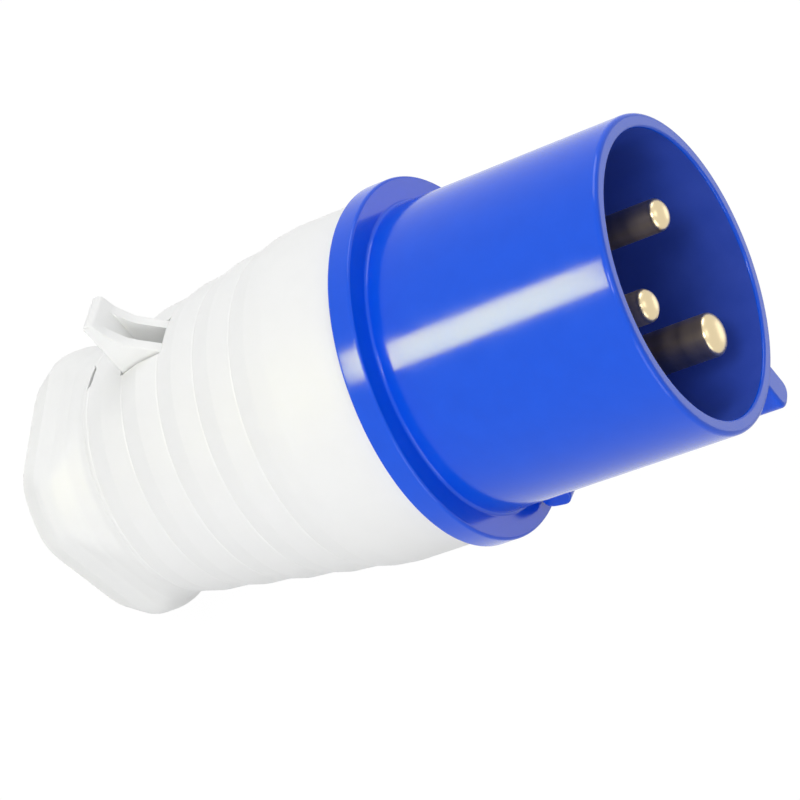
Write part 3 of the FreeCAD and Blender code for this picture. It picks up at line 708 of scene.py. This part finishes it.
@dataclass
class ShroudMoulding:
    """Blue front moulding: shroud, key rib, flange with its stop, floor ledge and spigot.

    The groove is given by its radius and two levels, the key by its width, top and front end,
    and the stop by its angle, width, top and front end.
    """

    material: bpy.types.Material
    # inside: the darker copy of the blue, painted shade for the faces inside the bore.
    inside: bpy.types.Material
    radius: float = 29.0
    bore: float = 26.3
    rim: float = 130.0
    flange_front: float = 83.4
    flange_rear: float = 78.8
    flange_radius: float = 33.9
    floor_front: float = 84.0
    floor_rear: float = 80.0
    floor_hole: float = 21.0
    spigot_rear: float = 62.0
    spigot_radius: float = 29.4
    spigot_bore: float = 26.1
    groove: tuple[float, float, float] = (27.9, 69.6, 72.4)
    key: tuple[float, float, float] = (5.8, 35.3, 129.9)
    key_start: float = 83.2
    key_nose: float = 0.9
    crown: float = 0.92
    stop: tuple[float, float, float, float] = (-16.0, 7.6, 32.9, 89.7)
    stop_ends: float = 0.5

    def profile(self) -> np.ndarray:
        """Profile of the shell as radius and level, with its eased corners."""
        groove_radius, groove_low, groove_high = self.groove
        rows = np.array([
            (self.spigot_bore, self.spigot_rear, 0.2),
            (self.spigot_radius, self.spigot_rear, 0.5),
            (self.spigot_radius, groove_low, 0.1),
            (groove_radius, groove_low, 0.1),
            (groove_radius, groove_high, 0.1),
            (self.spigot_radius, groove_high, 0.1),
            (self.spigot_radius, self.flange_rear, 0.1),
            (self.flange_radius, self.flange_rear, 0.5),
            (self.flange_radius, self.flange_front, 0.6),
            (self.radius, self.flange_front, 0.7),
            (self.radius, self.rim, 1.0),
            (self.bore, self.rim, 0.55),
            (self.bore, self.floor_front, 1.2),
            (self.floor_hole, self.floor_front, 0.2),
            (self.floor_hole, self.floor_rear, 0.1),
            (self.spigot_bore, self.floor_rear, 0.3),
        ])
        return softened(rows[:, :2], rows[:, 2], steps=8)

    def key_rib(self) -> bpy.types.Object:
        """Makes the round-topped rib that runs from the flange to the rim."""
        width, top, front = self.key
        middle = (self.radius + self.bore) / 2
        half = width / 2
        easing = half * self.crown
        rows = np.array([
            (middle, -half, 0.05), (top, -half, easing), (top, half, easing),
            (middle, half, 0.05)])
        stations, insets = rounded_ends(self.key_start, front, 0.02, self.key_nose)
        return extrusion("key_rib", rows, stations, insets, Sweep.UP, 0.0, 12)

    def stop_nub(self) -> bpy.types.Object:
        """Makes the half-round stop that stands in front of the flange."""
        angle, width, top, front = self.stop
        middle = (self.radius + self.bore) / 2
        low = self.flange_front + 0.6
        rows = np.array([
            (middle, low - 0.4, 0.05), (top - 0.6, low, 2.4), (top, front - 1.2, 2.0),
            (top - 1.4, front, 1.8), (middle, front, 0.05)])
        stations, insets = rounded_ends(-width / 2, width / 2, self.stop_ends, self.stop_ends)
        return extrusion("flange_stop", rows, stations, insets, Sweep.ACROSS, angle, 9)

    def build(self) -> None:
        """Builds the moulding and dresses it."""
        piece = lathe("shroud_moulding", self.profile(), segments=288)
        combine(piece, self.key_rib(), Operation.ADD)
        combine(piece, self.stop_nub(), Operation.ADD)
        smooth(piece)
        dress(piece, self.material)
        # Painted shade: faces inside the bore below the rim get the darker blue, which stands for
        # the shade inside the cavity.
        centres = face_centres(piece)
        reach = np.hypot(centres[:, 0], centres[:, 1])
        below_rim = centres[:, 2] < self.rim - 0.6
        dress_where(piece, self.inside, (reach < self.bore + 0.05) & below_rim)
        stand_for(piece, "front_shroud", Body.HOUSING)


@dataclass
class ContactPins:
    """Three turned brass contacts with shank, collar and terminal barrel."""

    material: bpy.types.Material
    polished: bpy.types.Material
    pole_angle: float = 115.7
    pole_circle: float = 12.2
    pole_radii: tuple[float, ...] = (3.0, 5.0, 4.3, 2.1)
    earth_circle: float = 15.0
    earth_radii: tuple[float, ...] = (4.0, 6.2, 5.3, 2.6)
    tip: float = 128.0
    dome: float = 2.0
    fullness: float = 0.92
    floor: float = 84.5
    collar_front: float = 78.9
    carrier_rear: float = 75.0
    barrel_end: float = 59.5
    wire_depth: float = 70.5

    def contact(self, node: str, angle: float, circle: float, radii: tuple[float, ...]) -> None:
        """Builds one contact.

        Args:
            node: CAD node that the contact stands for.
            angle: Its direction in degrees from the key.
            circle: Its distance from the axis.
            radii: Radii of pin, collar, barrel and wire hole.
        """
        pin, collar, barrel, hole = radii
        rows = np.array([
            (pin, self.floor, 0.05),
            (pin + 0.4, self.floor, 0.12),
            (pin + 0.4, self.collar_front, 0.05),
            (collar, self.collar_front, 0.1),
            (collar, self.carrier_rear, 0.1),
            (barrel, self.carrier_rear, 0.05),
            (barrel, self.barrel_end, 0.3),
            (hole, self.barrel_end, 0.2),
            (hole, self.wire_depth, 0.1),
            (0.0, self.wire_depth + 0.6, 0.0),
        ])
        sweep = np.linspace(0.0, math.pi / 2, 14)
        nose = np.stack(
            [pin * np.sin(sweep) ** self.fullness, self.tip - self.dome * (1 - np.cos(sweep))],
            axis=1)
        profile = np.vstack([nose, softened(rows[:, :2], rows[:, 2], steps=6, closed=False)])
        piece = lathe(node.replace("_pin", "_contact"), profile, segments=96, closed=False)
        turn = math.radians(angle)
        piece.data.transform(Matrix.Translation(
            (circle * MM * math.cos(turn), circle * MM * math.sin(turn), 0.0)))
        smooth(piece)
        # Painted shade: the shank takes the darker turned brass, which stands for the cavity's
        # shade; the domed tip takes the brighter polished brass.
        dress(piece, self.material)
        dress_where(piece, self.polished, face_centres(piece)[:, 2] > self.tip - self.dome - 0.05)
        stand_for(piece, node, Body.HOUSING)

    def build(self) -> None:
        """Builds the three contacts."""
        self.contact("line_pin", self.pole_angle, self.pole_circle, self.pole_radii)
        self.contact("neutral_pin", -self.pole_angle, self.pole_circle, self.pole_radii)
        self.contact("earth_pin", 0.0, self.earth_circle, self.earth_radii)


@dataclass
class RearHousing:
    """White rear moulding with its five bands, gland neck and the seat of the latch.

    Brackets, window and room are blocks, given as block() takes them.
    """

    material: bpy.types.Material
    latch_angle: float = 177.5
    front: float = 78.8
    rear: float = 17.0
    rear_radius: float = 24.7
    radius: float = 32.1
    shoulder: float = 63.0
    bore: float = 29.6
    seat: float = 61.5
    first_edge: float = 54.9
    pitch: float = 9.23
    steep: float = 4.1
    taper: float = 1.43
    edge_radius: float = 30.6
    knee_rise: float = 1.05
    line_depth: float = 0.06
    neck_radius: float = 19.0
    neck_bore: float = 15.2
    neck_rear: float = 10.0
    wall_rear: float = 40.0
    wall_front: float = 42.5
    wire_hole: float = 11.5
    thread_pitch: float = 3.0
    thread_depth: float = 0.55
    thread_ends: tuple[float, float] = (10.8, 25.0)
    bands: int = 5
    brackets: tuple[float, ...] = (18.9, 25.0, 6.9, 28.7, 34.7)
    window: tuple[float, ...] = (19.6, 32.0, 4.5, 26.6, 37.4)
    room: tuple[float, ...] = (19.6, 24.1, 4.7, 16.0, 27.5)
    slit_reach: tuple[float, float] = (21.3, 32.0)

    def outside(self) -> np.ndarray:
        """Outer rows of radius, level and easing from the flange to the gland end."""
        index = np.arange(self.bands)
        knees = np.stack([
            self.edge_radius + self.knee_rise - index * self.taper,
            self.first_edge + self.steep - index * self.pitch,
            np.full(self.bands, 0.9),
        ], axis=1)
        edges = np.stack([
            self.edge_radius - index * self.taper,
            self.first_edge - index * self.pitch,
            np.full(self.bands, 0.05),
        ], axis=1)
        above = edges + np.array([0.11, 0.42, 0.02])
        below = edges + np.array([0.0, -0.22, 0.1])
        valley = edges + np.array([-self.line_depth, 0.06, 0.0])
        bands = np.stack([knees, above, valley, below], axis=1).reshape(-1, 3)
        head = np.array([(self.radius, self.front, 0.35), (self.radius, self.shoulder, 6.0)])
        return np.vstack([head, bands, [(self.rear_radius, self.rear, 0.3)]])

    def profile(self) -> np.ndarray:
        """Whole profile of the shell as radius and level, from rows that end in an easing."""
        inside = np.array([
            (22.9, self.rear, 0.2),
            (24.0, 27.2, 3.0),
            (26.3, self.wall_rear, 0.4),
            (self.neck_radius, self.wall_rear, 0.5),
            (self.neck_radius, self.neck_rear, 0.5),
            (self.neck_bore, self.neck_rear, 0.3),
            (self.neck_bore, self.wall_rear, 0.1),
            (self.wire_hole, self.wall_rear, 0.3),
            (self.wire_hole, self.wall_front, 0.4),
            (26.66, self.wall_front, 1.0),
            (29.0, self.seat - 0.5, 0.2),
            (self.bore, self.seat, 0.1),
            (self.bore, self.front, 0.3),
        ])
        rows = np.vstack([self.outside(), inside])
        return refined(softened(rows[:, :2], rows[:, 2], steps=6), 0.4, self.neck_radius)

    def threaded(self, angles: np.ndarray, profile: np.ndarray) -> np.ndarray:
        """Radii with a right-hand thread cut into the outside of the neck.

        The cut is depth * (1 - cos(2 pi (level / pitch - angle / 2 pi))) / 2, faded in and
        out over a millimetre at the thread's ends.

        Args:
            angles: Column of angles.
            profile: Rows of radius and level.

        Returns:
            Radii for every angle and row.
        """
        radii = np.repeat(profile[None, :, 0], len(angles), axis=0)
        level = profile[None, :, 1]
        low, high = self.thread_ends
        on_neck = np.abs(profile[None, :, 0] - self.neck_radius) < NEAR
        fade = np.clip(level - low, 0, 1) * np.clip(high - level, 0, 1) * on_neck
        phase = 2 * math.pi * level / self.thread_pitch - angles
        return radii - fade * self.thread_depth * (1 - np.cos(phase)) / 2

    def block(self, label: str, box: tuple[float, ...]) -> bpy.types.Object:
        """Square-cornered body that lies towards the latch.

        Args:
            label: Name of the body.
            box: Distances of its near and far sides from the axis, half its width, and its
                lowest and highest levels.

        Returns:
            The body.
        """
        inner, outer, half, low, high = box
        rows = np.array([
            (inner, -half, 0.25), (outer, -half, 0.25), (outer, half, 0.25), (inner, half, 0.25)])
        stations = np.array([low, high])
        return extrusion(label, rows, stations, np.zeros(2), Sweep.UP, self.latch_angle, 3)

    def slit(self) -> bpy.types.Object:
        """Makes the low arch that is cut from the gland end below the latch."""
        rows = np.array([
            (16.0, 3.6, 0.05), (17.4, 3.4, 0.6), (18.55, 1.6, 1.8), (18.55, -1.6, 1.8),
            (17.4, -3.4, 0.6), (16.0, -3.6, 0.05)])
        stations = np.array(self.slit_reach)
        return extrusion("slit", rows, stations, np.zeros(2), Sweep.OUT, self.latch_angle, 6)

    def build(self) -> None:
        """Builds the moulding and dresses it."""
        piece = lathe("housing_moulding", self.profile(), segments=288, shape=self.threaded)
        combine(piece, self.block("brackets", self.brackets), Operation.ADD)
        combine(piece, self.block("window", self.window), Operation.CUT)
        combine(piece, self.block("room", self.room), Operation.CUT)
        combine(piece, self.slit(), Operation.CUT)
        smooth(piece, 30.0)
        dress(piece, self.material)
        stand_for(piece, "rear_housing", Body.HOUSING)


@dataclass
class CableCap:
    """Gland nut whose round collar flares into four lobes, with its thread and ratchet ring."""

    material: bpy.types.Material
    turn: float = 7.0
    bore: float = 19.08
    entry: float = 10.5
    ratchet: float = 21.3
    bore_floor: float = 8.0
    shoulder: float = 16.8
    front: float = 22.0
    outside_from: float = 20.2
    blend: float = 1.6
    thread_pitch: float = 3.0
    thread_depth: float = 0.5
    thread_ends: tuple[float, float] = (8.6, 21.6)
    teeth: int = 40
    teeth_rear: float = 17.4
    tooth_depth: float = 0.45
    flat_levels: tuple[float, ...] = (-1.0, 0.0, 4.5, 8.6, 11.8, 14.3, 15.6, 16.4, 30.0)
    flat_distances: tuple[float, ...] = (
        20.0, 20.4, 22.3, 22.4, 22.95, 23.85, 24.6, 26.5, 60.0)

    def profile(self) -> np.ndarray:
        """Profile of the cap as radius and level, with its eased corners."""
        rows = np.array([
            (self.entry, 0.0, 0.5),
            (23.1, 0.0, 0.45),
            (25.7, 4.5, 1.2),
            (26.15, 5.9, 2.0),
            (26.15, 8.6, 4.0),
            (24.6, 11.9, 4.0),
            (24.0, 15.1, 3.0),
            (24.3, self.shoulder, 0.25),
            (self.ratchet, self.shoulder, 0.1),
            (self.ratchet, self.front, 0.25),
            (self.bore, self.front, 0.25),
            (self.bore, self.bore_floor, 0.3),
            (self.entry, self.bore_floor, 0.3),
        ])
        return refined(softened(rows[:, :2], rows[:, 2], steps=8), 0.5)

    def shape(self, angles: np.ndarray, profile: np.ndarray) -> np.ndarray:
        """Radii of the cap with its four flats, its thread and its ratchet teeth.

        A flat at distance d from the axis has the radius d / cos(a) at an angle a from its
        middle. The outside takes the smaller of that and the round profile, eased over the
        blend width. The thread is cut outwards into the bore as a cosine ridge, and the
        teeth are a saw wave cut into the ratchet ring.

        Args:
            angles: Column of angles.
            profile: Rows of radius and level.

        Returns:
            Radii for every angle and row.
        """
        radius = profile[None, :, 0]
        level = profile[None, :, 1]
        distance = np.interp(level, self.flat_levels, self.flat_distances)
        eighth = math.pi / 4
        from_flat = np.mod(angles - math.radians(self.turn) + eighth, 2 * eighth) - eighth
        flat = distance / np.cos(from_flat)
        share = np.clip(0.5 + 0.5 * (flat - radius) / self.blend, 0, 1)
        eased = flat * (1 - share) + radius * share - self.blend * share * (1 - share)
        radii = np.where(radius > self.outside_from, eased, radius)
        low, high = self.thread_ends
        in_bore = np.abs(radius - self.bore) < NEAR
        fade = np.clip(level - low, 0, 1) * np.clip(high - level, 0, 1) * in_bore
        phase = 2 * math.pi * level / self.thread_pitch - angles
        radii = radii + fade * self.thread_depth * (1 + np.cos(phase)) / 2
        on_ring = np.abs(radius - self.ratchet) < NEAR
        rise = np.clip((level - self.teeth_rear) * 3, 0, 1) * on_ring
        saw = np.mod(angles * self.teeth / (2 * math.pi), 1.0)
        return radii - rise * self.tooth_depth * saw

    def build(self) -> None:
        """Builds the cap and dresses it."""
        piece = lathe("gland_nut", self.profile(), segments=320, shape=self.shape)
        smooth(piece, 30.0)
        dress(piece, self.material)
        stand_for(piece, "cable_cap", Body.CAP)


@dataclass
class ReleaseTab:
    """Rocking latch lever: two cheeks, rear web and a tail, with softened edges."""

    material: bpy.types.Material
    angle: float = 177.5
    half: float = 4.1
    cheek: float = 2.1
    pivot: tuple[float, float] = (22.1, 31.7)
    pivot_radius: float = 1.05
    channel_floor: float = 29.7
    channel_top: float = 40.0
    channel_reach: tuple[float, float] = (18.0, 42.0)
    side_ease: float = 0.35
    edge_ease: float = 0.18
    outline: tuple[tuple[float, float, float], ...] = field(default=(
        (22.7, 18.6, 0.2), (22.7, 25.8, 0.6), (24.3, 27.0, 0.6), (38.3, 27.0, 1.0),
        (38.0, 29.1, 0.9), (34.6, 29.9, 3.0), (31.2, 31.9, 6.0), (28.9, 34.9, 5.0),
        (27.3, 37.05, 0.3), (24.0, 37.05, 0.3),
        (23.2, 33.6, 0.5), (22.1, 33.9, 0.9), (20.54, 33.26, 0.9), (19.9, 31.7, 0.9),
        (20.54, 30.14, 0.9), (21.7, 28.7, 0.5), (21.7, 18.6, 0.2),
    ))

    def hollow(
        self, piece: bpy.types.Object, label: str, rows: np.ndarray, half: float, steps: int
    ) -> None:
        """Cuts an outline out of the lever, through a width on both sides of its middle.

        Args:
            piece: The lever.
            label: Name of the body that is cut out.
            rows: Its outline, as extrusion() takes it.
            half: Half the width of the cut.
            steps: Points on each eased corner.
        """
        stations = np.array([-half, half])
        tool = extrusion(label, rows, stations, np.zeros(2), Sweep.ACROSS, self.angle, steps)
        combine(piece, tool, Operation.CUT)

    def build(self) -> None:
        """Builds the lever and dresses it."""
        stations, insets = rounded_ends(-self.half, self.half, self.side_ease, self.side_ease)
        piece = extrusion(
            "release_tab", np.array(self.outline), stations, insets, Sweep.ACROSS, self.angle, 5)
        near, far = self.channel_reach
        channel = np.array([
            (far, self.channel_floor, 0.1), (far, self.channel_top, 0.1),
            (near, self.channel_top, 0.1), (near, self.channel_floor, 0.1)])
        self.hollow(piece, "channel", channel, self.half - self.cheek, 3)
        ring = np.linspace(0, 2 * math.pi, 32, endpoint=False)
        hole = np.stack([
            self.pivot[0] + self.pivot_radius * np.cos(ring),
            self.pivot[1] + self.pivot_radius * np.sin(ring),
            np.full(len(ring), 0.02)], axis=1)
        self.hollow(piece, "pivot_hole", hole, 2 * self.half, 2)
        edge = piece.modifiers.new("EdgeEase", "BEVEL")
        edge.width = self.edge_ease * MM
        edge.segments = 2
        edge.limit_method = "ANGLE"
        edge.angle_limit = math.radians(50)
        settle(piece)
        smooth(piece)
        dress(piece, self.material)
        stand_for(piece, "latch_lever", Body.LATCH)


@dataclass
class InnerParts:
    """Parts that keep their CAD shape and get their finishes: carrier, screws, seals, springs."""

    materials: dict[str, bpy.types.Material]
    finishes: dict[str, tuple[str, ...]] = field(default_factory=lambda: {
        "carrier": ("pin_carrier",),
        "retainer": ("retainer_plate",),
        "plated": (
            "line_clamp_screw", "neutral_clamp_screw", "earth_clamp_screw", "carrier_screw_1",
            "carrier_screw_2"),
        "steel": ("lever_pin", "lever_spring"),
        "rubber": ("housing_seal", "gland_seal"),
        "collet": ("gland_collet",),
        "washer": ("slip_washer",),
    })

    def dress_all(self, nodes: dict[str, bpy.types.Object]) -> None:
        """Gives each node its finish.

        Args:
            nodes: CAD nodes by name.
        """
        for finish, names in self.finishes.items():
            for name in names:
                dress(nodes[name], self.materials[finish])
                LOG.info("%s dressed in %s", name, self.materials[finish].name)


# ---- studio --------------------------------------------------------------------------------


@dataclass
class SoftBox:
    """Rectangular lamp that faces a point."""

    name: str
    place: tuple[float, float, float]
    aim: tuple[float, float, float]
    size: tuple[float, float]
    power: float
    lights_matt: bool = True
    colour: tuple[float, float, float] = (1.0, 1.0, 1.0)
    roll: float = 0.0

    def build(self) -> None:
        """Makes the lamp."""
        data = bpy.data.lights.new(self.name, "AREA")
        data.shape = "RECTANGLE"
        data.size, data.size_y = self.size
        data.energy = self.power
        data.color = self.colour
        lamp = bpy.data.objects.new(self.name, data)
        bpy.context.scene.collection.objects.link(lamp)
        lamp.location = Vector(self.place)
        turn = (Vector(self.aim) - Vector(self.place)).to_track_quat("-Z", "Y").to_matrix()
        lamp.rotation_euler = (turn @ Matrix.Rotation(math.radians(self.roll), 3, "Z")).to_euler()
        lamp.visible_camera = False
        lamp.visible_diffuse = self.lights_matt


@dataclass
class Studio:
    """Camera, pale floor, even surroundings and soft lamps."""

    camera_place: tuple[float, float, float] = (-0.316856, -0.386557, 0.352782)
    camera_right: tuple[float, float, float] = (0.56089, 0.13719, 0.81644)
    camera_up: tuple[float, float, float] = (-0.61346, 0.73110, 0.29859)
    camera_back: tuple[float, float, float] = (-0.55594, -0.66834, 0.49423)
    lens: float = 144.0535
    surroundings: float = 0.47
    far_side: float = 0.3
    far_from: float = 0.8
    floor_glow: float = 0.965
    floor_albedo: float = 0.07
    floor_bounce: float = 0.88
    floor_level: float = -0.05
    floor_reach: float = 6000.0
    floor_rings: int = 9
    floor_spokes: int = 64

    def camera(self) -> None:
        """Makes the camera that stands where the photograph was taken from."""
        data = bpy.data.cameras.new("portrait")
        data.sensor_width = 36.0
        data.lens = self.lens
        data.clip_start = 0.01
        camera = bpy.data.objects.new("portrait", data)
        bpy.context.scene.collection.objects.link(camera)
        columns = (self.camera_right, self.camera_up, self.camera_back)
        turn = Matrix([[column[row] for column in columns] for row in range(3)])
        camera.matrix_world = Matrix.Translation(self.camera_place) @ turn.to_4x4()
        bpy.context.scene.camera = camera

    def world(self) -> None:
        """Makes the surroundings.

        They are white where the camera, glass and gloss see them. As a light on matt surfaces
        they are softer, and fade towards the side away from the camera.
        """
        world = bpy.data.worlds.new("surroundings")
        bpy.context.scene.world = world
        world.use_nodes = True
        world.node_tree.nodes.clear()
        wiring = Wiring(world.node_tree)
        direction = wiring.add("ShaderNodeTexCoord")
        towards = wiring.add("ShaderNodeSeparateXYZ")
        shade = wiring.add(
            "ShaderNodeMapRange", From_Min=0.0, From_Max=self.far_from, To_Min=1.0,
            To_Max=self.far_side)
        lit = wiring.add("ShaderNodeBackground", Strength=self.surroundings)
        white = wiring.add("ShaderNodeBackground", Color=grey(1.0), Strength=1.0)
        mix = wiring.add("ShaderNodeMixShader")
        out = wiring.add("ShaderNodeOutputWorld")
        wiring.join(direction, "Generated", towards, "Vector")
        wiring.join(towards, "X", shade, "Value")
        wiring.join(shade, "Result", lit, "Color")
        wiring.join(wiring.sees_background(), "Value", mix, "Fac")
        wiring.join(lit, "Background", mix, 1)
        wiring.join(white, "Background", mix, 2)
        wiring.join(mix, "Shader", out, "Surface")

    def floor_material(self) -> bpy.types.Material:
        """Material of the floor.

        Camera, glass and gloss see a white glow that the plug's shadow dims a little. Light
        that falls on matt surfaces comes from a plain pale floor.
        """
        material = bpy.data.materials.new("pale_floor")
        material.use_nodes = True
        material.node_tree.nodes.clear()
        wiring = Wiring(material.node_tree)
        matt = wiring.add("ShaderNodeBsdfDiffuse", Color=grey(self.floor_albedo))
        pale = wiring.add("ShaderNodeBsdfDiffuse", Color=grey(self.floor_bounce))
        glow = wiring.add("ShaderNodeEmission", Color=grey(1.0), Strength=self.floor_glow)
        both = wiring.add("ShaderNodeAddShader")
        mix = wiring.add("ShaderNodeMixShader")
        out = wiring.add("ShaderNodeOutputMaterial")
        wiring.join(matt, "BSDF", both, 0)
        wiring.join(glow, "Emission", both, 1)
        wiring.join(wiring.sees_background(), "Value", mix, "Fac")
        wiring.join(pale, "BSDF", mix, 1)
        wiring.join(both, "Shader", mix, 2)
        wiring.join(mix, "Shader", out, "Surface")
        return material

    def floor(self) -> None:
        """Makes the floor, a disc of rings that widen outwards.

        The point at radius r and angle a is (r cos a, r sin a, level), and the radius grows
        with the square of the ring's number.
        """
        spokes = self.floor_spokes
        rings = np.linspace(0.0, 1.0, self.floor_rings)[:, None] ** 2 * self.floor_reach + 0.001
        angles = np.linspace(0.0, 2 * math.pi, spokes + 1)[None, :-1]
        levels = np.full((self.floor_rings, spokes), self.floor_level)
        points = np.stack([rings * np.cos(angles), rings * np.sin(angles), levels], axis=-1)
        rows = np.arange(self.floor_rings - 1)
        faces = grid_faces(rows, rows + 1, np.arange(spokes), spokes)
        floor = new_piece("floor", points.reshape(-1, 3), faces)
        dress(floor, self.floor_material())

    def lamps(self) -> None:
        """Makes the lamps, with their power in watts."""
        middle = (0.0, 0.0, 0.065)
        boxes = [
            SoftBox("key", (-0.739, -0.599, 0.369), (0.0, 0.0, 0.06), (0.22, 0.22), 2.2),
            SoftBox("front_fill", (0.236, -0.945, 0.285), middle, (0.8, 0.6), 3.4),
            SoftBox("back_fill", (-0.795, 0.557, 0.302), middle, (0.6, 0.5), 3.0),
            SoftBox("top_fill", (-0.459, -0.265, 0.928), (0.0, 0.0, 0.08), (0.45, 0.45), 0.6),
            SoftBox("rim_light", (0.67, 0.80, 0.72), (0.0, 0.0, 0.13), (0.5, 0.4), 0.55),
            SoftBox("strip", (-0.137, -0.0945, 0.032), (0.0, 0.0, 0.032), (0.050, 0.066), 0.29,
                    False, (1.0, 0.95, 0.12), 8.0),
        ]
        for box in boxes:
            box.build()

    def build(self) -> None:
        """Makes the whole studio."""
        self.camera()
        self.world()
        self.floor()
        self.lamps()
        bpy.context.scene.view_settings.view_transform = "Standard"
        LOG.info("studio built")


def main() -> None:
    """Builds the pieces in order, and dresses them."""
    logging.basicConfig(level=logging.INFO, format="%(name)s: %(message)s")
    groups = Groups(moulded_surface_group(), turned_marks_group())
    materials = {name: finish.material(groups) for name, finish in FINISHES.items()}
    Studio().build()
    ShroudMoulding(materials["blue"], materials["blue_cavity_painted_shade"]).build()
    ContactPins(materials["brass"], materials["brass_tip"]).build()
    RearHousing(materials["white"]).build()
    CableCap(materials["cap_white"]).build()
    ReleaseTab(materials["tab_white"]).build()
    InnerParts(materials).dress_all(frame["nodes"])


if __name__ == "__main__":
    main()
